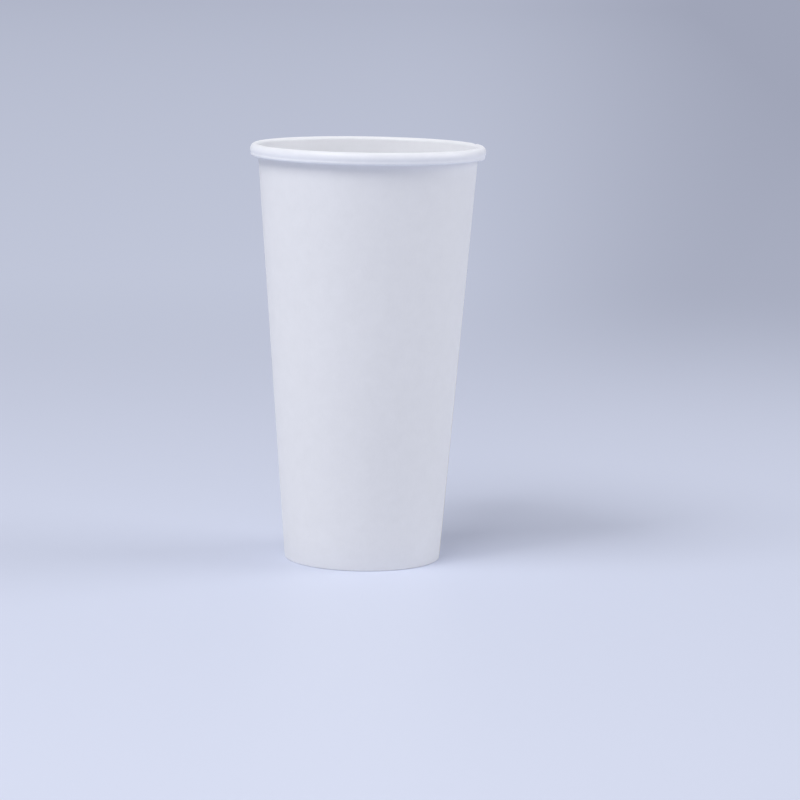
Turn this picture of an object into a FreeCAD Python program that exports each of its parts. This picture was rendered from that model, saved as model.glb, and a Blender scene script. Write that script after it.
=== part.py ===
# Compostable paper cold cup, 20 fl oz: a wrapped, lapped and rolled sidewall and a pressed-in bottom disc.
# Millimetres, +Z up. The origin is the centre of the foot ring, on the surface that the cup stands on.
import FreeCAD, Part
import math
import os

# ---- Driving dimensions -------------------------------------------------------------------------
cup_height = 160.0        # foot to the top of the rim curl
rim_d = 90.0              # outside of the rim curl, the lid's size
foot_d = 60.0             # outside of the wall at the foot
board = 0.40              # lined paperboard of the sidewall
disc_board = 0.35         # lined paperboard of the bottom disc

crown_r = 1.47            # top of the rolled rim
side_r = 2.6              # its flatter outer side
crown_end = 50.0          # where the crown passes into the side, degrees below level
curl_waist = 16.0         # how far the side leans in to the curl's waist, degrees
curl_lower_r = 0.9        # its underside
curl_height = 4.7         # height of the rolled rim
waist_r = 0.5             # hollow at the waist
lip_lean = 4.0            # how far the lip under the waist leans out, degrees
lip_flat = 0.3            # straight stretch of the lip
curl_gap = 0.10           # air between the tucked board and the wall
tuck_turn = 110.0         # how far the board rolls on past the bottom of the curl, degrees

seam_azimuth = 11.0       # middle of the lap, degrees from +X
lap_width = 7.0           # overlap of the two edges of the blank, measured at the rim
climb_width = 7.0         # stretch over which the board climbs onto the lap, measured at the rim
settle_width = 24.0       # stretch over which the curl past the lap settles to its plain form
seam_crown_r = 1.5        # the doubled board at the lap doesn't roll as tightly,
seam_lower_r = 1.1
seam_height = 5.3         # hangs lower,
seam_waist = 20.0         # has a deeper waist, degrees,
seam_tuck_turn = 25.0     # and rolls less far, degrees

hem_height = 6.0          # how far the foot of the blank is folded up inside the disc's skirt
fold_r = 0.05             # inner radius of the pressed fold at the foot
seal_gap = 0.04           # lining film between the disc's skirt and the board on each side of it
panel_gap = 1.2           # between the hem's raw edge and the underside of the disc's panel
shoulder_r = 1.4          # outer radius of the bend between the disc's panel and its skirt

# ---- Derived sizes ------------------------------------------------------------------------------
rim_r = rim_d / 2
foot_r = foot_d / 2
skirt_slot = disc_board + 2 * seal_gap      # width of the slot between wall and hem

# The wall's inside face is a cone that is tangent to the curl's crown and meets the foot one board
# inside foot_r. The side of the curl reaches rim_r.
crown_reach = rim_r - side_r + (side_r - crown_r) * math.sin(math.radians(crown_end)) - foot_r
crown_rise = cup_height - crown_r
taper = math.acos((crown_r - board) / math.hypot(crown_reach, crown_rise)) - math.atan2(crown_rise, crown_reach)
taper_deg = math.degrees(taper)
wall_offset = foot_r * math.cos(taper) - board      # distance of the inside face's line from the origin

lap_angle = math.degrees(lap_width / rim_r)
climb_angle = math.degrees(climb_width / rim_r)
settle_angle = math.degrees(settle_width / rim_r)
RAMP_STEP = 2.3           # widest ruled strip in the climb and in the settling stretch, degrees


# ---- Paths in the (r, z) half-plane -------------------------------------------------------------
# A path is a start point, a heading in degrees and a list of legs. A leg is (length, 0) where it is
# straight, and (radius, turn) where it is an arc, with a positive turn to the left.

def ahead(heading, distance):
    """Step of a given length along a heading."""
    angle = math.radians(heading)
    return distance * math.cos(angle), distance * math.sin(angle)


def travel(point, heading, leg):
    """Point and heading after one leg."""
    size, turn = leg
    if turn == 0:
        step = ahead(heading, size)
        return (point[0] + step[0], point[1] + step[1]), heading
    side = 90.0 if turn > 0 else -90.0
    to_centre = ahead(heading + side, size)
    from_centre = ahead(heading + turn - side, size)
    moved = (point[0] + to_centre[0] + from_centre[0], point[1] + to_centre[1] + from_centre[1])
    return moved, heading + turn


def strip(start, heading, legs, near, far):
    """Closed wire in the XZ plane around a path, between two distances to the right of it."""
    def place(point, direction, offset):
        shift = ahead(direction - 90.0, offset)
        return FreeCAD.Vector(point[0] + shift[0], 0, point[1] + shift[1])

    def edge(begin, leg, offset):
        end = travel(*begin, leg)
        if leg[1] == 0:
            return Part.makeLine(place(*begin, offset), place(*end, offset))
        middle = travel(*begin, (leg[0], leg[1] / 2))
        arc = Part.Arc(place(*begin, offset), place(*middle, offset), place(*end, offset))
        return arc.toShape()

    stations = [(start, heading)]
    for leg in legs:
        stations.append(travel(*stations[-1], leg))
    near_side = [edge(begin, leg, near) for begin, leg in zip(stations, legs)]
    far_side = [edge(begin, leg, far) for begin, leg in zip(stations, legs)]
    end_cap = Part.makeLine(place(*stations[-1], near), place(*stations[-1], far))
    start_cap = Part.makeLine(place(*stations[0], far), place(*stations[0], near))
    return Part.Wire(near_side + [end_cap] + far_side[::-1] + [start_cap])


def cone_point(inset, height):
    """Point at a height, a given distance inside the wall's inside face."""
    return (wall_offset - inset + height * math.sin(taper)) / math.cos(taper), height


# ---- Sidewall -----------------------------------------------------------------------------------

def blend(plain, doubled, swell):
    """A size between the one on the plain wall and the one at the lap, by a swell of 0 to 1."""
    return plain + swell * (doubled - plain)


def eased(share):
    """Share of a change that starts and ends gently."""
    return share * share * (3 - 2 * share)


def blank_section(layer, swell, fold_swell, azimuth):
    """Section of the wrapped blank at one azimuth, as a closed wire.

    layer is (near, far): 0 is the inside face of the cup, and distances grow towards the outside.
    swell is 0 on the plain wall and 1 at the lap, where the curl is larger. fold_swell does the same
    for the fold at the foot, which stands on two boards there.
    """
    near, far = layer
    radius = blend(crown_r, seam_crown_r, swell)
    lower_r = blend(curl_lower_r, seam_lower_r, swell)
    height = blend(curl_height, seam_height, swell)
    waist = blend(curl_waist, seam_waist, swell)
    tuck = blend(tuck_turn, seam_tuck_turn, swell)
    fold_z = board * (1 + fold_swell)

    hem_corner = cone_point(skirt_slot, fold_z)
    wall_corner = cone_point(0, fold_z)
    hem_setback = fold_r * math.tan(math.radians(90 + taper_deg) / 2)
    wall_setback = fold_r * math.tan(math.radians(90 - taper_deg) / 2)
    hem_leg = (hem_height - fold_z) / math.cos(taper) - hem_setback
    flat_leg = wall_corner[0] - hem_corner[0] - hem_setback - wall_setback

    # The crown touches the wall's line, and its top is at the cup's height.
    centre_r = cone_point(-radius, cup_height - radius)[0]
    top_of_wall = (centre_r - radius * math.cos(taper), cup_height - radius + radius * math.sin(taper))
    wall_leg = math.dist(wall_corner, top_of_wall) - wall_setback

    # The side leans in to the waist and the lip out again. What is left of the height is straight.
    side_shift = ahead(90.0 - crown_end, radius - side_r)
    side_in, side_down = math.sin(math.radians(waist)), math.cos(math.radians(waist))
    lip_out, lip_down = math.sin(math.radians(lip_lean)), math.cos(math.radians(lip_lean))
    bends = (
        radius - side_shift[1] + side_r * side_in + waist_r * (side_in + lip_out)
        + lip_flat * lip_down + lower_r * (1 + lip_out)
    )
    side_flat = (height - bends) / side_down

    # The plain board rolls on under the curl until it nearly touches the wall.
    waist_end_r = (
        centre_r + side_shift[0] + side_r * side_down - side_flat * side_in + waist_r * (side_down - lip_down)
    )
    lower_centre_r = waist_end_r + lip_flat * lip_out - lower_r * lip_down
    wall_outside_r = cone_point(-board, cup_height - height + lower_r)[0]
    tuck_r = blend(lower_centre_r - wall_outside_r - curl_gap, lower_r, swell)

    hem_end = cone_point(skirt_slot, hem_height)
    legs = [
        (hem_leg, 0),
        (fold_r, 90 + taper_deg),
        (flat_leg, 0),
        (fold_r, 90 - taper_deg),
        (wall_leg, 0),
        (radius, taper_deg - 90 - crown_end),
        (side_r, crown_end - 90 - waist),
        (side_flat, 0),
        (waist_r, waist + lip_lean),
        (lip_flat, 0),
        (lower_r, -90 - lip_lean),
        (tuck_r, -tuck),
    ]
    wire = strip(hem_end, -90 - taper_deg, legs, near, far)
    wire.rotate(FreeCAD.Vector(0, 0, 0), FreeCAD.Vector(0, 0, 1), azimuth)
    return wire


def turned(wire, angle):
    """Solid of a section turned about the cup's axis."""
    return Part.Face(wire).revolve(FreeCAD.Vector(0, 0, 0), FreeCAD.Vector(0, 0, 1), angle)


def ramp(layer_from, layer_to, azimuth_from, azimuth_to, swell_from, swell_to):
    """Board that goes from one layer and curl to another, in ruled strips.

    The rollers press the foot flat, so its fold changes within climb_angle, however wide the ramp is.
    """
    width = abs(azimuth_to - azimuth_from)
    steps = math.ceil(width / RAMP_STEP)
    sections = []
    for step in range(steps + 1):
        share = step / steps
        fold_share = min(1.0, share * width / climb_angle)
        layer = [blend(a, b, eased(share)) for a, b in zip(layer_from, layer_to)]
        swell = blend(swell_from, swell_to, eased(share))
        fold_swell = blend(swell_from, swell_to, eased(fold_share))
        azimuth = blend(azimuth_from, azimuth_to, share)
        sections.append(blank_section(layer, swell, fold_swell, azimuth))
    return Part.makeLoft(sections, True, True)


def sidewall():
    """The blank wrapped once round, clockwise from above, with its last end on the outside of the lap."""
    single = (0, board)
    upper = (board, 2 * board)
    doubled = (0, 2 * board)
    lap_start = seam_azimuth + lap_angle / 2
    lap_end = seam_azimuth - lap_angle / 2
    plain_start = lap_end - settle_angle
    plain_angle = 360 - lap_angle - climb_angle - settle_angle
    plain_wall = turned(blank_section(single, 0, 0, plain_start), -plain_angle)
    climb = ramp(single, upper, lap_start + climb_angle, lap_start, 0, 1)
    lap = turned(blank_section(doubled, 1, 1, lap_start), -lap_angle)
    settle = ramp(single, single, lap_end, plain_start, 1, 0)
    return plain_wall.fuse([climb, lap, settle])


# ---- Bottom disc --------------------------------------------------------------------------------

def bottom_disc():
    """Round blank with its edge drawn down into a skirt, which stands in the slot of the foot."""
    panel_top = hem_height + panel_gap + disc_board
    skirt_foot = 2 * board + seal_gap
    panel_corner = cone_point(seal_gap, panel_top)
    setback = shoulder_r * math.tan(math.radians(90 + taper_deg) / 2)
    skirt_leg = (panel_top - skirt_foot) / math.cos(taper) - setback
    legs = [
        (panel_corner[0] - setback, 0),
        (shoulder_r, -90 - taper_deg),
        (skirt_leg, 0),
    ]
    return turned(strip((0, panel_top), 0, legs, 0, disc_board), 360)


os.makedirs("parts", exist_ok=True)
pieces = {"sidewall": sidewall(), "bottom_disc": bottom_disc()}
for name, shape in pieces.items():
    shape.exportStep(f"parts/{name}.step")
    print(f"{name}: {len(shape.Solids)} solid, {shape.Volume:.1f} mm3, valid {shape.isValid()}")
print(f"wall taper {taper_deg:.2f} degrees")
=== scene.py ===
# %% [markdown]
# # A compostable paper cold cup
#
# The real cup is two blanks of white paperboard with a thin plant-based lining. A fan-shaped
# blank is wrapped into a cone, its side edges are lapped and sealed, its top is rolled outwards
# into a rim and its foot is folded up inside the skirt of a round bottom disc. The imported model
# holds the sizes, so it is loaded first, and everything below is built in its frame.

# %% Load the frame
import math
import bpy
from mathutils import Matrix, Vector


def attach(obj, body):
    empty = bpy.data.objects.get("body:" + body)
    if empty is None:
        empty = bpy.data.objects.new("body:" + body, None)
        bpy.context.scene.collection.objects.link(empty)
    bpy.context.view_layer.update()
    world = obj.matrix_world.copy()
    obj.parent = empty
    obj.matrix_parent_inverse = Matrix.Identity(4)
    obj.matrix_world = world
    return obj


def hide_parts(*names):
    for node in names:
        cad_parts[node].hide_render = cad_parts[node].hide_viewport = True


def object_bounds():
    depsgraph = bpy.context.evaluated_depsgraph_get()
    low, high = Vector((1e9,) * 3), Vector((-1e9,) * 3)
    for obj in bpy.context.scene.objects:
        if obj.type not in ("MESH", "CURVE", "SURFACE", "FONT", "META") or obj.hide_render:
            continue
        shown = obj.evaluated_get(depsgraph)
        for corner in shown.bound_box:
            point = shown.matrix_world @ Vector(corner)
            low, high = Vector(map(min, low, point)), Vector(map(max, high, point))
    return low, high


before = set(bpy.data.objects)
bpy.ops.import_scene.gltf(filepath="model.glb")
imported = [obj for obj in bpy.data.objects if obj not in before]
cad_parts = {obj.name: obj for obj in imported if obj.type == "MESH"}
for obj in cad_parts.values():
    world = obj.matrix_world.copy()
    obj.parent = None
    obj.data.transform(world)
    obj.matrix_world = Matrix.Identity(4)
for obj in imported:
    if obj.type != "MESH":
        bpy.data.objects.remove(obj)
cad_low, cad_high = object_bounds()
print("frame:", sorted(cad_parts), "height", round(cad_high.z, 4), "m")

# %% [markdown]
# ## Sizes
#
# Paper pieces are easiest to think of in millimetres, while Blender's unit here is the metre. The
# height and the rim come from the frame. The rest are the sizes of the board and of its folds.

# %% Sizes in millimetres
MM = 0.001                            # one millimetre in Blender's metres
cup_height = cad_high.z / MM
rim_radius = -cad_low.x / MM          # the side away from the seam's thicker roll
foot_radius = 30.0                    # outside of the wall at the foot
board = 0.40                          # sidewall board
disc_board = 0.35                     # bottom disc board
film = 0.02                           # melted lining between the two boards of the lap

plain_curl = {
    "crown_radius": 1.47, "lower_radius": 0.9, "height": 4.7, "waist": 16.0, "tuck": 110.0}
lap_curl = {
    "crown_radius": 1.50, "lower_radius": 1.1, "height": 5.3, "waist": 20.0, "tuck": 25.0}
side_radius = 2.6                     # the curl's flatter outer side
crown_end = 50.0                      # where the crown passes into the side, degrees below level
curl_gap = 0.10
waist_radius = 0.5
lip_lean = 4.0                        # how far the lip under the waist leans out, degrees
lip_flat = 0.3

seam_azimuth = 11.0                   # middle of the lap, degrees from +X
lap_width = 7.0
climb_width = 7.0                     # the board climbs onto the lap over this width
settle_width = 24.0                   # and past the lap the curl settles over this width
hem_height = 6.0
fold_radius = 0.05
seal_gap = 0.04
panel_gap = 1.2
shoulder_radius = 1.4
rib_count = 96                        # pressed ribs round the hem
rib_depth = 0.09
sharp_angle = 38.0                    # edges bent more than this stay crisp, degrees
weld_distance = 0.001                 # points closer than this are one point

# Straight pieces that the walk cuts these legs of the section into.
hem_pieces, fold_pieces, wall_pieces = 5, 4, 14

lap_angle = math.degrees(lap_width / rim_radius)
climb_angle = math.degrees(climb_width / rim_radius)
settle_angle = math.degrees(settle_width / rim_radius)
print(f"lap {lap_angle:.1f} degrees, climb {climb_angle:.1f}, settling {settle_angle:.1f}")

# %% [markdown]
# ## One helper for every node
#
# Both kinds of node tree used here, for shapes and for materials, are made of nodes with settings
# and links. This function adds one node: keyword arguments are its settings, and the dictionary
# gives each socket a value or another node's output.

# %% Helpers
def add(tree, kind, sockets=None, **settings):
    """Adds a node, sets it and links it."""
    node = tree.nodes.new(kind)
    for name, value in settings.items():
        setattr(node, name, value)
    for name, value in (sockets or {}).items():
        if isinstance(value, bpy.types.NodeSocket):
            tree.links.new(value, node.inputs[name])
        else:
            node.inputs[name].default_value = value
    return node


def srgb(code):
    """An sRGB hex colour as linear RGBA."""
    parts = [int(code[i:i + 2], 16) / 255 for i in (1, 3, 5)]
    return [p / 12.92 if p <= 0.04045 else ((p + 0.055) / 1.055) ** 2.4 for p in parts] + [1.0]


print("middle grey in linear light:", [round(v, 3) for v in srgb("#808080")])

# %% [markdown]
# ## The camera
#
# A long lens a little over a metre away, looking slightly down on the cup, is how small tableware
# is usually shown. The camera is set first, so that every later step can be looked at through it.
# Its axes are written as a matrix: right, up, and backwards.

# %% Camera
camera_distance = 1.2215              # along the floor, from the lens to the cup's axis
camera_height = 0.2478
camera_side = 0.0138                  # the cup stands this far left of the camera's line
look_down = math.radians(8.67)
camera_tilt = math.radians(1.0)       # the camera leans a little, so the cup seems to lean right

forward = Vector((0, math.cos(look_down), -math.sin(look_down)))
level_right = Vector((1, 0, 0))
level_up = level_right.cross(forward)
camera_right = math.cos(camera_tilt) * level_right + math.sin(camera_tilt) * level_up
camera_up = math.cos(camera_tilt) * level_up - math.sin(camera_tilt) * level_right
camera = bpy.data.objects.new("camera", bpy.data.cameras.new("camera"))
camera.data.lens = 144.0
camera.data.sensor_width = 36.0
place = Matrix((camera_right, camera_up, -forward)).transposed().to_4x4()
place.translation = (camera_side, -camera_distance, camera_height)
camera.matrix_world = place
bpy.context.scene.collection.objects.link(camera)
bpy.context.scene.camera = camera
print("camera at", [round(v, 3) for v in camera.location], "lens", camera.data.lens, "mm")

# %% [markdown]
# ## The section of the wall
#
# Cut the cup with a knife from rim to foot and the cut edge of the sidewall is one line of board:
# up inside the foot hem, round the pressed fold, up the cone, and round into the curl until the
# raw edge is tucked away. The line is walked like a path on a map, in straight legs and tangent
# arcs, so every bend is smooth without choosing points by hand.

# %% Walk a path
def walk(start, heading, legs):
    """Points and headings along a path. A leg is (length, 0, pieces) or (radius, turn, pieces)."""
    trail = [(start, heading)]
    for size, turn, pieces in legs:
        bend = turn / pieces
        chord = 2 * size * math.sin(math.radians(abs(bend) / 2)) if turn else size / pieces
        for _ in range(pieces):
            (r, z), aim = trail[-1]
            along = math.radians(aim + bend / 2)
            trail.append(((r + chord * math.cos(along), z + chord * math.sin(along)), aim + bend))
    return trail


def lifted(trail, distance):
    """The path moved to its right, which is towards the outside of the cup."""
    return [(r + distance * math.sin(math.radians(aim)), z - distance * math.cos(math.radians(aim)))
            for (r, z), aim in trail]


# %% [markdown]
# The cone's slope isn't a number of its own. It follows from the rim, the foot and the height: the
# wall has to touch the crown of the curl at the top and stand one board inside the foot's radius
# below.

# %% The slope of the wall
crown = plain_curl["crown_radius"]
crown_centre = rim_radius - side_radius + (side_radius - crown) * math.sin(math.radians(crown_end))
reach = crown_centre - foot_radius
rise = cup_height - crown
slope = math.acos((crown - board) / math.hypot(reach, rise)) - math.atan2(rise, reach)
slope_degrees = math.degrees(slope)
wall_line = foot_radius * math.cos(slope) - board


def on_cone(inset, z):
    """Point at a height, a given distance inside the wall's inside face."""
    return (wall_line - inset + z * math.sin(slope)) / math.cos(slope), z


print(f"the wall leans out by {slope_degrees:.2f} degrees")

# %% [markdown]
# The rolled rim isn't a plain circle. Its crown is tight and its outer side is flatter, and the
# roller leaves a shallow waist there with a lip below it. Two boards can't roll as tightly as
# one, so at the seam the roll is taller, its waist is deeper and the board isn't tucked in as
# far.

# %% Legs of the curl
def curl_legs(swell):
    """Crown radius and legs of the curl. swell is 0 on the plain wall and 1 in the lap."""
    radius, lower_radius, height, waist, tuck = (
        plain_curl[size] + swell * (lap_curl[size] - plain_curl[size]) for size in plain_curl)
    side_in, side_down = math.sin(math.radians(waist)), math.cos(math.radians(waist))
    lip_out, lip_down = math.sin(math.radians(lip_lean)), math.cos(math.radians(lip_lean))
    out = (radius - side_radius) * math.sin(math.radians(crown_end))
    down = radius + (side_radius - radius) * math.cos(math.radians(crown_end))
    bends = (down + side_radius * side_in + waist_radius * (side_in + lip_out)
             + lip_flat * lip_down + lower_radius * (1 + lip_out))
    flat = (height - bends) / side_down
    shift = (out + side_radius * side_down - flat * side_in + waist_radius * (side_down - lip_down)
             + lip_flat * lip_out - lower_radius * lip_down)
    lower_centre = on_cone(-radius, cup_height - radius)[0] + shift
    room = lower_centre - on_cone(-board, cup_height - height + lower_radius)[0] - curl_gap
    tuck_radius = room + swell * (lower_radius - room)
    legs = [
        (radius, slope_degrees - 90 - crown_end, 14),
        (side_radius, crown_end - 90 - waist, 7),
        (flat, 0, 1),
        (waist_radius, waist + lip_lean, 3),
        (lip_flat, 0, 1),
        (lower_radius, -90 - lip_lean, 9),
        (tuck_radius, -tuck, 8),
    ]
    return radius, legs


print("plain curl", plain_curl["height"], "mm high, lap curl", lap_curl["height"], "mm high")

# %% [markdown]
# One walk gives three sections: the plain wall, the lower board of the side seam, and the upper
# board that lies on it.

# %% Sections of the sidewall
def wall_section(lift, swell):
    """Section of the blank's inside face, lifted by what lies under it."""
    radius, curl = curl_legs(swell)
    fold_z = board + swell * (board + film)
    hem_setback = fold_radius * math.tan(math.radians(90 + slope_degrees) / 2)
    wall_setback = fold_radius * math.tan(math.radians(90 - slope_degrees) / 2)
    slot = disc_board + 2 * seal_gap
    hem_corner = on_cone(slot, fold_z)
    wall_corner = on_cone(0, fold_z)
    centre = on_cone(-radius, cup_height - radius)
    wall_top = (centre[0] - radius * math.cos(slope), centre[1] + radius * math.sin(slope))
    legs = [
        ((hem_height - fold_z) / math.cos(slope) - hem_setback, 0, hem_pieces),
        (fold_radius, 90 + slope_degrees, fold_pieces),
        (wall_corner[0] - hem_corner[0] - hem_setback - wall_setback, 0, 1),
        (fold_radius, 90 - slope_degrees, fold_pieces),
        (math.dist(wall_corner, wall_top) - wall_setback, 0, wall_pieces),
        *curl,
    ]
    return lifted(walk(on_cone(slot, hem_height), -90 - slope_degrees, legs), lift)


plain_section = wall_section(0, 0)
under_section = wall_section(0, 1)
over_section = wall_section(board + film, 1)
print(len(plain_section), "points in each section of the sidewall")

# %% [markdown]
# The bottom disc's section is shorter: half of the flat panel, the rounded shoulder and the skirt,
# which reaches down into the slot of the foot.

# %% Section of the bottom disc
panel_top = hem_height + panel_gap + disc_board
skirt_foot = 2 * board + seal_gap
panel_corner = on_cone(seal_gap, panel_top)
shoulder_setback = shoulder_radius * math.tan(math.radians(90 + slope_degrees) / 2)
disc_legs = [
    (panel_corner[0] - shoulder_setback, 0, 16),
    (shoulder_radius, -90 - slope_degrees, 10),
    ((panel_top - skirt_foot) / math.cos(slope) - shoulder_setback, 0, 4),
]
disc_section = lifted(walk((0, panel_top), 0, disc_legs), 0)
print(f"the panel lies {panel_top:.2f} mm above the foot")

# %% [markdown]
# ## Wrapping a section round the axis with Geometry Nodes
#
# A wrapped blank follows a rule: each station round the cup has the same points, and only near
# the seam do they blend from one section to another. So a grid of stations and points is made,
# each grid point looks its place up in the section meshes by its index, and is then turned to its
# azimuth.
#
# First the look-up. A section is a mesh of loose points, and a grid point reads the one whose
# number is its own number within its station.

# %% Read a section
def read_section(tree, section, point, value, kind):
    """A value of the section's points, read by index."""
    geometry = add(tree, "GeometryNodeObjectInfo", {"Object": section}).outputs["Geometry"]
    return add(tree, "GeometryNodeSampleIndex", {
        "Geometry": geometry, "Value": value, "Index": point},
        data_type=kind, domain="POINT").outputs[0]


# %% [markdown]
# Board doesn't kink, so a change from one section to the next eases in and out. This is the weight
# of such a change along the way round.

# %% Ease along the way round
def eased(tree, travelled, begin, width, first, last):
    """Goes smoothly from first to last over a width that starts at begin."""
    end = add(tree, "ShaderNodeMath", {0: begin, 1: width}).outputs[0]
    return add(tree, "ShaderNodeMapRange", {
        "Value": travelled, "From Min": begin, "From Max": end, "To Min": first, "To Max": last},
        interpolation_type="SMOOTHSTEP").outputs["Result"]


# %% [markdown]
# The closing roller presses fine upright ribs into the hem at the foot. They are a cosine round the
# cup, pushed inwards only where the section's points are marked as pressed.

# %% Ribs of the hem
def rib_shift(tree, travelled, count, depth, mask):
    """Shift towards the axis that the pressed ribs give."""
    phase = add(tree, "ShaderNodeMath", {0: travelled, 1: count}, operation="MULTIPLY").outputs[0]
    wave = add(tree, "ShaderNodeMath", {0: phase}, operation="COSINE").outputs[0]
    inwards = add(tree, "ShaderNodeMath", {0: depth, 1: -1.0}, operation="MULTIPLY").outputs[0]
    push = add(tree, "ShaderNodeMapRange", {
        "Value": wave, "From Min": 1.0, "From Max": -1.0, "To Min": 0.0,
        "To Max": inwards}).outputs["Result"]
    masked = add(tree, "ShaderNodeMath", {0: push, 1: mask}, operation="MULTIPLY").outputs[0]
    return add(tree, "ShaderNodeCombineXYZ", {"X": masked}).outputs[0]


# %% [markdown]
# Now the whole tree. The way round starts at the lower edge of the seam. Just after the lap the
# section settles from the lap's roll to the plain one, slowly at the rim and at once at the foot,
# which the rollers press flat. At the end of the turn it climbs onto the lap.

# %% The wrapping tree
def wrapping_tree():
    """Geometry node group that turns a section about the axis, with a lap at its ends."""
    tree = bpy.data.node_groups.new("wrap_blank", "GeometryNodeTree")
    for name, kind in (
        ("Plain Section", "Object"), ("Under Section", "Object"), ("Over Section", "Object"),
        ("Section Points", "Int"), ("Stations", "Int"), ("Start", "Float"), ("Turn", "Float"),
        ("Lap", "Float"), ("Climb", "Float"), ("Settle", "Float"), ("Rib Count", "Float"),
        ("Rib Depth", "Float"), ("Board", "Material"),
    ):
        tree.interface.new_socket(name, in_out="INPUT", socket_type="NodeSocket" + kind)
    tree.interface.new_socket("Geometry", in_out="OUTPUT", socket_type="NodeSocketGeometry")
    given = add(tree, "NodeGroupInput").outputs

    def math_node(operation, a, b):
        return add(tree, "ShaderNodeMath", {0: a, 1: b}, operation=operation).outputs[0]

    grid = add(tree, "GeometryNodeMeshGrid", {
        "Vertices X": given["Stations"], "Vertices Y": given["Section Points"]})
    index = add(tree, "GeometryNodeInputIndex").outputs[0]
    point, station = (
        add(tree, "FunctionNodeIntegerMath", {0: index, 1: given["Section Points"]},
            operation=operation).outputs[0] for operation in ("MODULO", "DIVIDE"))
    share = math_node("DIVIDE", station, math_node("SUBTRACT", given["Stations"], 1.0))
    travelled = math_node("MULTIPLY", share, given["Turn"])

    position = add(tree, "GeometryNodeInputPosition").outputs[0]
    plain, under, over = (
        read_section(tree, given[name + " Section"], point, position, "FLOAT_VECTOR")
        for name in ("Plain", "Under", "Over"))
    at_foot, pressed = (
        read_section(tree, given["Plain Section"], point,
                     add(tree, "GeometryNodeInputNamedAttribute", {"Name": mark},
                         data_type="FLOAT").outputs[0], "FLOAT")
        for mark in ("at_foot", "pressed"))
    rim_settling = eased(tree, travelled, given["Lap"], given["Settle"], 1.0, 0.0)
    foot_settling = eased(tree, travelled, given["Lap"], given["Climb"], 1.0, 0.0)
    near_start = add(tree, "ShaderNodeMix", {
        0: at_foot, 2: rim_settling, 3: foot_settling}).outputs[0]
    settled = add(tree, "ShaderNodeMix", {0: near_start, 4: plain, 5: under},
                  data_type="VECTOR").outputs[1]
    lap_begin = math_node("SUBTRACT", given["Turn"], given["Lap"])
    climb_begin = math_node("SUBTRACT", lap_begin, given["Climb"])
    near_end = eased(tree, travelled, climb_begin, given["Climb"], 0.0, 1.0)
    climbed = add(tree, "ShaderNodeMix", {0: near_end, 4: settled, 5: over},
                  data_type="VECTOR").outputs[1]

    ribs = rib_shift(tree, travelled, given["Rib Count"], given["Rib Depth"], pressed)
    ribbed = add(tree, "ShaderNodeVectorMath", {0: climbed, 1: ribs}, operation="ADD").outputs[0]
    turned = add(tree, "ShaderNodeVectorRotate", {
        "Vector": ribbed, "Angle": math_node("SUBTRACT", given["Start"], travelled)},
        rotation_type="Z_AXIS").outputs[0]

    wrapped = add(tree, "GeometryNodeSetPosition", {
        "Geometry": grid.outputs["Mesh"], "Position": turned}).outputs[0]
    joined = add(tree, "GeometryNodeMergeByDistance", {
        "Geometry": wrapped, "Distance": weld_distance * MM}).outputs[0]
    real = add(tree, "GeometryNodeRealizeInstances", {"Geometry": joined}).outputs[0]
    finished = add(tree, "GeometryNodeSetMaterial", {
        "Geometry": real, "Material": given["Board"]}).outputs[0]
    add(tree, "NodeGroupOutput", {"Geometry": finished})
    return tree


wrap_blank = wrapping_tree()
print("wrapping tree:", len(wrap_blank.nodes), "nodes")

# %% [markdown]
# ## From a sheet to a board
#
# The tree gives a sheet without thickness: the face that touches the drink. Solidify adds the
# board behind it, and keeps an order that is easy to use: first the sheet's own faces, then their
# copies on the far side, then the raw edges. So each face gets its finish by its number. The
# result is made a plain mesh, and the working objects are deleted.

# %% Make a piece of board
def section_object(name, section, marks):
    """Mesh of loose points, with their marks, that the tree reads by index."""
    mesh = bpy.data.meshes.new(name)
    mesh.from_pydata([(r * MM, 0, z * MM) for r, z in section], [], [])
    for mark, values in marks.items():
        mesh.attributes.new(mark, "FLOAT", "POINT").data.foreach_set("value", values)
    made = bpy.data.objects.new(name, mesh)
    bpy.context.scene.collection.objects.link(made)
    return made


def evaluated_mesh(made):
    """Plain mesh of an object as its modifiers leave it."""
    graph = bpy.context.evaluated_depsgraph_get()
    return bpy.data.meshes.new_from_object(made.evaluated_get(graph))


def board_piece(name, sections, marks, inputs, thickness, materials):
    """Wraps sections into a sheet, thickens it and returns one plain mesh object.

    marks are the named values of the sections' points. materials are the finishes of the inside
    face, the outside face and the raw edges.
    """
    helpers = [section_object(f"{name}_{i}", s, marks) for i, s in enumerate(sections)]
    host = bpy.data.objects.new(name + "_host", bpy.data.meshes.new(name + "_host"))
    bpy.context.scene.collection.objects.link(host)
    wrap = host.modifiers.new("wrap", "NODES")
    wrap.node_group = wrap_blank
    named = {
        "Plain Section": helpers[0], "Under Section": helpers[1], "Over Section": helpers[2],
        "Section Points": len(sections[0]), "Board": materials[0], **inputs,
    }
    for socket in wrap_blank.interface.items_tree:
        if socket.in_out == "INPUT":
            wrap[socket.identifier] = named[socket.name]
    sheet_faces = len(evaluated_mesh(host).polygons)
    thicken = host.modifiers.new("board", "SOLIDIFY")
    thicken.thickness = thickness * MM
    thicken.offset = -1.0
    thicken.use_even_offset = True
    mesh = evaluated_mesh(host)
    mesh.name = name
    mesh.materials.clear()
    for material in materials:
        mesh.materials.append(material)
    slots = [min(i // sheet_faces, 2) for i in range(len(mesh.polygons))]
    mesh.polygons.foreach_set("material_index", slots)
    mesh.shade_smooth()
    mesh.set_sharp_from_angle(angle=math.radians(sharp_angle))
    for helper in [*helpers, host]:
        bpy.data.objects.remove(helper)
    piece = bpy.data.objects.new(name, mesh)
    bpy.context.scene.collection.objects.link(piece)
    return piece


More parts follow.
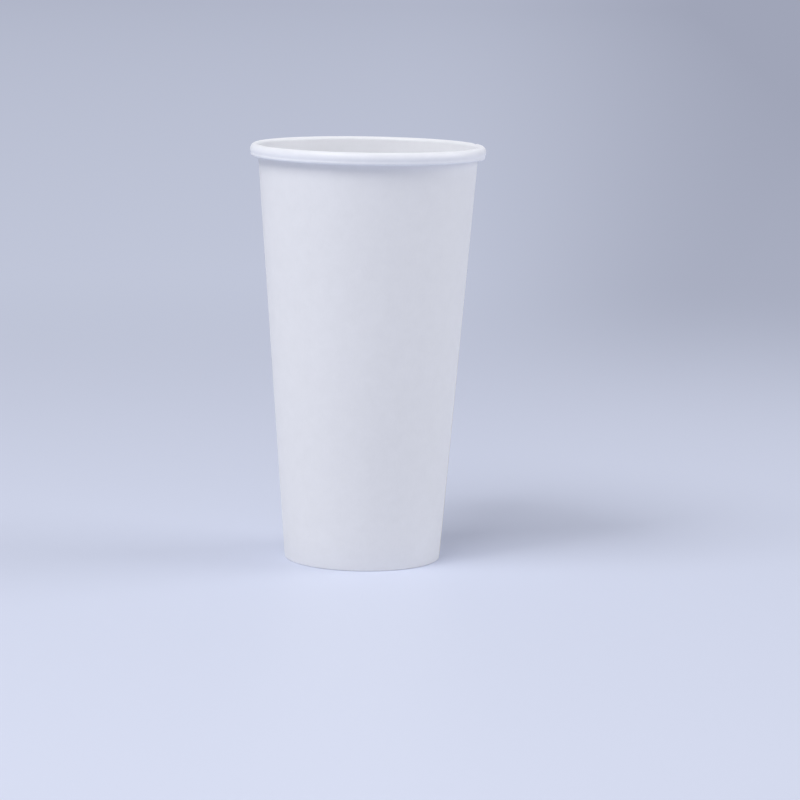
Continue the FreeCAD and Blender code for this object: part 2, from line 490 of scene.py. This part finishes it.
# %% [markdown]
# ## Materials
#
# White paperboard is never one flat white. Its fibres clump into faint clouds a few millimetres
# across, which papermakers call formation, and its surface keeps a fine tooth. The outside
# carries a smooth clay coat, the inside a thin clear film of plant plastic, and a cut edge shows
# bare fibre. All three start from the same few nodes, so one function builds them from real
# sizes.

# %% Paperboard
fibre_share = 0.35                    # of the fibres in the tone, the rest is clouds
noise_low, noise_high = 0.3, 0.7      # the noise values that the two whites belong to


def paperboard(name, light, dark, cloud_mm, tooth_mm, tooth_depth_mm, gloss, streak):
    """Board with cloudy fibre formation, upright machine streaks, and a fine tooth."""
    material = bpy.data.materials.new(name)
    material.use_nodes = True
    tree = material.node_tree
    tree.nodes.clear()
    coordinates = add(tree, "ShaderNodeTexCoord").outputs["Object"]
    clouds = add(tree, "ShaderNodeTexNoise", {
        "Vector": coordinates, "Scale": 1 / (cloud_mm * MM), "Detail": 4.0,
        "Roughness": 0.6}).outputs["Fac"]
    stretched = add(tree, "ShaderNodeMapping", {
        "Vector": coordinates, "Scale": (1.0, 1.0, streak)}).outputs[0]
    fibres = add(tree, "ShaderNodeTexNoise", {
        "Vector": stretched, "Scale": 1 / (tooth_mm * MM), "Detail": 3.0}).outputs["Fac"]
    both = add(tree, "ShaderNodeMix", {0: fibre_share, 2: clouds, 3: fibres}).outputs[0]
    spread = add(tree, "ShaderNodeMapRange", {
        "Value": both, "From Min": noise_low, "From Max": noise_high}).outputs["Result"]
    colour = add(tree, "ShaderNodeMix", {0: spread, 6: srgb(dark), 7: srgb(light)},
                 data_type="RGBA").outputs[2]
    roughness = add(tree, "ShaderNodeMapRange", {
        "Value": both, "From Min": noise_low, "From Max": noise_high,
        "To Min": gloss[0], "To Max": gloss[1]}).outputs["Result"]
    bump = add(tree, "ShaderNodeBump", {
        "Height": fibres, "Strength": 1.0, "Distance": tooth_depth_mm * MM}).outputs[0]
    surface = add(tree, "ShaderNodeBsdfPrincipled", {
        "Base Color": colour, "Roughness": roughness, "Normal": bump, "IOR": 1.5,
        "Diffuse Roughness": 0.4})
    add(tree, "ShaderNodeOutputMaterial", {"Surface": surface.outputs[0]})
    return material


# Clay-coated and calendered: an even white with a soft sheen.
coated_outside = paperboard(
    "clay_coated_board", light="#F1F1F3", dark="#EDEDEF", cloud_mm=5.0, tooth_mm=0.6,
    tooth_depth_mm=0.012, gloss=(0.42, 0.5), streak=0.35)
# Film over bare bleached board: a slightly warmer white, smoother and a little glossier.
lined_inside = paperboard(
    "film_lined_board", light="#F5F6FA", dark="#F1F2F6", cloud_mm=4.0, tooth_mm=0.5,
    tooth_depth_mm=0.006, gloss=(0.4, 0.48), streak=0.5)
# Cut through the fibres: matt, a little darker, and rough to a tenth of a millimetre.
raw_edge = paperboard(
    "cut_board_edge", light="#EEE9DE", dark="#DDD6C8", cloud_mm=1.2, tooth_mm=0.25,
    tooth_depth_mm=0.05, gloss=(0.8, 0.9), streak=1.0)
print("materials:", [m.name for m in (coated_outside, lined_inside, raw_edge)])

# %% [markdown]
# ## The sidewall
#
# One turn and a lap: the sheet starts at the seam's lower edge, goes once round, climbs over its
# own start and ends on top of it. The stations are under two thirds of a degree apart, which
# keeps the rim round in a close view and gives each pressed rib of the hem about six of them.

# %% Wrap the sidewall
sidewall_stations = 577
hem_points = hem_pieces + 1                        # up to the hem's fold
foot_points = hem_points + 2 * fold_pieces + 1     # up to the start of the wall
numbered = range(len(plain_section))
marks = {
    "pressed": [1.0 if 0 < i < hem_points - 1 else 0.0 for i in numbered],
    "at_foot": [min(1.0, max(0.0, 1 - (i - foot_points + 1) / wall_pieces)) for i in numbered],
}
sidewall = board_piece(
    "wrapped_sidewall", [plain_section, under_section, over_section], marks,
    {
        "Stations": sidewall_stations,
        "Start": math.radians(seam_azimuth + lap_angle / 2),
        "Turn": math.radians(360 + lap_angle),
        "Lap": math.radians(lap_angle),
        "Climb": math.radians(climb_angle),
        "Settle": math.radians(settle_angle),
        "Rib Count": float(rib_count),
        "Rib Depth": rib_depth * MM,
    },
    board, [lined_inside, coated_outside, raw_edge])
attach(sidewall, "root")
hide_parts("sidewall")
print("sidewall:", len(sidewall.data.polygons), "faces")

# %% [markdown]
# ## The bottom disc
#
# The same tree turns the disc's section a full circle. With no lap there is nothing to blend, so
# the three sections are one and the same, and the tree's merge step closes the middle and the
# join.

# %% Turn the bottom disc
disc_stations = 241
disc = board_piece(
    "pressed_bottom_disc", [disc_section] * 3, {},
    {
        "Stations": disc_stations,
        "Start": 0.0,
        "Turn": math.radians(360),
        "Lap": 0.0,
        "Climb": 0.0,
        "Settle": 0.0,
        "Rib Count": 0.0,
        "Rib Depth": 0.0,
    },
    disc_board, [lined_inside, coated_outside, raw_edge])
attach(disc, "root")
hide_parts("bottom_disc")
print("bottom disc:", len(disc.data.polygons), "faces")

# %% [markdown]
# ## Floor
#
# The cup stands on a pale sheet that is lit by the lamps and keeps the cup's shadow. With
# distance the sheet fades into a cool backdrop tone that glows for the camera. That tone carries
# painted light falloff: it gets darker with distance and is lighter on the left, the painted shade
# that lamps near the object on the left would give a studio sweep. Seen from below the floor lets
# the view through, and a round hole that the foot covers lets some light reach the underside of
# the bottom disc.

# %% Floor
sheet_tone = "#D8DEF0"
# backdrop tones of the painted light falloff: near the sheet, and in painted shade far away
near_tone, far_painted_shade_tone = "#C9CFE2", "#A0A5B8"
fade_from, fade_to = 0.3, 1.0         # the lit sheet fades over these distances, metres
darkest_at = 7.3                      # distance at which the painted falloff leaves the backdrop darkest, metres
quickness = 0.4                       # below 1, most of the painted darkening comes early
falloff_distance_share = 0.62                 # how much the painted falloff with distance darkens the backdrop
falloff_side_share = 0.57                     # how much more the painted falloff darkens towards the right
side_ratio = 0.16                     # metres to the right for each metre away, fully darkened
side_margin = 0.5                     # keeps that ratio calm near the cup, metres


def sweep_material():
    """Pale sheet near the cup that fades into a backdrop tone with painted light falloff."""
    material = bpy.data.materials.new("pale_sweep")
    material.use_nodes = True
    tree = material.node_tree
    tree.nodes.clear()
    coordinates = add(tree, "ShaderNodeTexCoord").outputs["Object"]
    distance = add(tree, "ShaderNodeVectorMath", {0: coordinates},
                   operation="LENGTH").outputs["Value"]
    across = add(tree, "ShaderNodeSeparateXYZ", {0: coordinates}).outputs["X"]
    fading = add(tree, "ShaderNodeMapRange", {
        "Value": distance, "From Min": fade_from, "From Max": fade_to},
        interpolation_type="SMOOTHSTEP")
    # Painted light falloff: the backdrop tone gets darker with distance and towards the right.
    far_away = add(tree, "ShaderNodeMapRange", {
        "Value": distance, "From Min": fade_from, "From Max": darkest_at}).outputs["Result"]
    quick_start = add(tree, "ShaderNodeMath", {0: far_away, 1: quickness},
                      operation="POWER").outputs[0]
    falloff_by_distance = add(tree, "ShaderNodeMath", {0: quick_start, 1: falloff_distance_share},
                        operation="MULTIPLY")
    from_cup = add(tree, "ShaderNodeMath", {0: distance, 1: side_margin}).outputs[0]
    sideways = add(tree, "ShaderNodeMath", {0: across, 1: from_cup}, operation="DIVIDE").outputs[0]
    falloff_to_the_right = add(tree, "ShaderNodeMapRange", {
        "Value": sideways, "From Min": 0.0, "From Max": side_ratio,
        "To Min": 0.0, "To Max": falloff_side_share},
        interpolation_type="SMOOTHSTEP")
    # how far the backdrop is in painted shade, from the near tone to the far one
    painted_falloff = add(tree, "ShaderNodeMath", {
        0: falloff_by_distance.outputs[0], 1: falloff_to_the_right.outputs["Result"]}, use_clamp=True).outputs[0]
    tone = add(tree, "ShaderNodeMix", {0: painted_falloff, 6: srgb(near_tone), 7: srgb(far_painted_shade_tone)},
               data_type="RGBA").outputs[2]
    glow = add(tree, "ShaderNodeEmission", {"Color": tone})
    sheet = add(tree, "ShaderNodeBsdfPrincipled", {
        "Base Color": srgb(sheet_tone), "Roughness": 0.5})
    seen = add(tree, "ShaderNodeLightPath").outputs["Is Camera Ray"]
    faded = add(tree, "ShaderNodeMath", {0: fading.outputs["Result"], 1: seen},
                operation="MULTIPLY").outputs[0]
    sweep = add(tree, "ShaderNodeMixShader", {0: faded, 1: sheet.outputs[0], 2: glow.outputs[0]})
    clear = add(tree, "ShaderNodeBsdfTransparent")
    below = add(tree, "ShaderNodeNewGeometry").outputs["Backfacing"]
    shown = add(tree, "ShaderNodeMixShader", {0: below, 1: sweep.outputs[0], 2: clear.outputs[0]})
    add(tree, "ShaderNodeOutputMaterial", {"Surface": shown.outputs[0]})
    return material


floor_reach = 14.0                    # metres
hole_margin = 1.4                     # the foot covers the hole's edge by this much, millimetres
floor_hole = (foot_radius - hole_margin) * MM
sides = 96
turns = [math.tau * i / sides for i in range(sides)]
around = [Vector((math.cos(turn), math.sin(turn), 0)) for turn in turns]
floor_mesh = bpy.data.meshes.new("floor")
floor_mesh.from_pydata(
    [r * v for r in (floor_hole, floor_reach) for v in around], [],
    [(i, sides + i, sides + (i + 1) % sides, (i + 1) % sides) for i in range(sides)])
floor_mesh.materials.append(sweep_material())
floor = bpy.data.objects.new("floor", floor_mesh)
bpy.context.scene.collection.objects.link(floor)
print("floor:", 2 * floor_reach, "m across")

# %% [markdown]
# ## Light
#
# Paper shows its form only in soft light. Two large lamps high on the left and in front give the
# wall its slow change of tone and the curl its narrow shadow, a broad one on the right keeps the
# far edge from going flat, and the world fills the rest. All of them stay low enough that the top
# of the curl keeps its paper tone when the cup is seen from above.

# %% Lamps and world
def soft_lamp(name, location, size, power):
    """A square white lamp that looks at the middle of the cup. Sizes are metres and watts."""
    lamp = bpy.data.lights.new(name, "AREA")
    lamp.shape = "SQUARE"
    lamp.size = size
    lamp.energy = power
    holder = bpy.data.objects.new(name, lamp)
    middle = Vector((0, 0, cad_high.z / 2))
    holder.location = location
    holder.rotation_euler = (middle - Vector(location)).to_track_quat("-Z", "Y").to_euler()
    bpy.context.scene.collection.objects.link(holder)


soft_lamp("high_left_softbox", (-0.9, -0.6, 1.5), 0.8, 10.4)
soft_lamp("front_left_softbox", (-0.5, -1.0, 1.5), 0.8, 10.3)
soft_lamp("right_softbox", (1.8, 0.1, 0.9), 1.4, 15.3)

fill_tone, fill_strength = "#F3F3F8", 0.39
backdrop_tone = "#ABB0C4"
world = bpy.data.worlds.new("studio")
world.use_nodes = True
bpy.context.scene.world = world
sky = world.node_tree
sky.nodes.clear()
ray = add(sky, "ShaderNodeLightPath")
camera_or_glossy = add(sky, "ShaderNodeMath", {
    0: ray.outputs["Is Camera Ray"], 1: ray.outputs["Is Glossy Ray"]}).outputs[0]
looked_at = add(sky, "ShaderNodeMath", {
    0: camera_or_glossy, 1: ray.outputs["Is Transmission Ray"]}, use_clamp=True).outputs[0]
fill = add(sky, "ShaderNodeBackground", {"Color": srgb(fill_tone), "Strength": fill_strength})
backdrop = add(sky, "ShaderNodeBackground", {"Color": srgb(backdrop_tone), "Strength": 1.0})
seen = add(sky, "ShaderNodeMixShader", {
    0: looked_at, 1: fill.outputs[0], 2: backdrop.outputs[0]})
add(sky, "ShaderNodeOutputWorld", {"Surface": seen.outputs[0]})
bpy.context.scene.view_settings.view_transform = "Standard"
print("light: three lamps and the world")
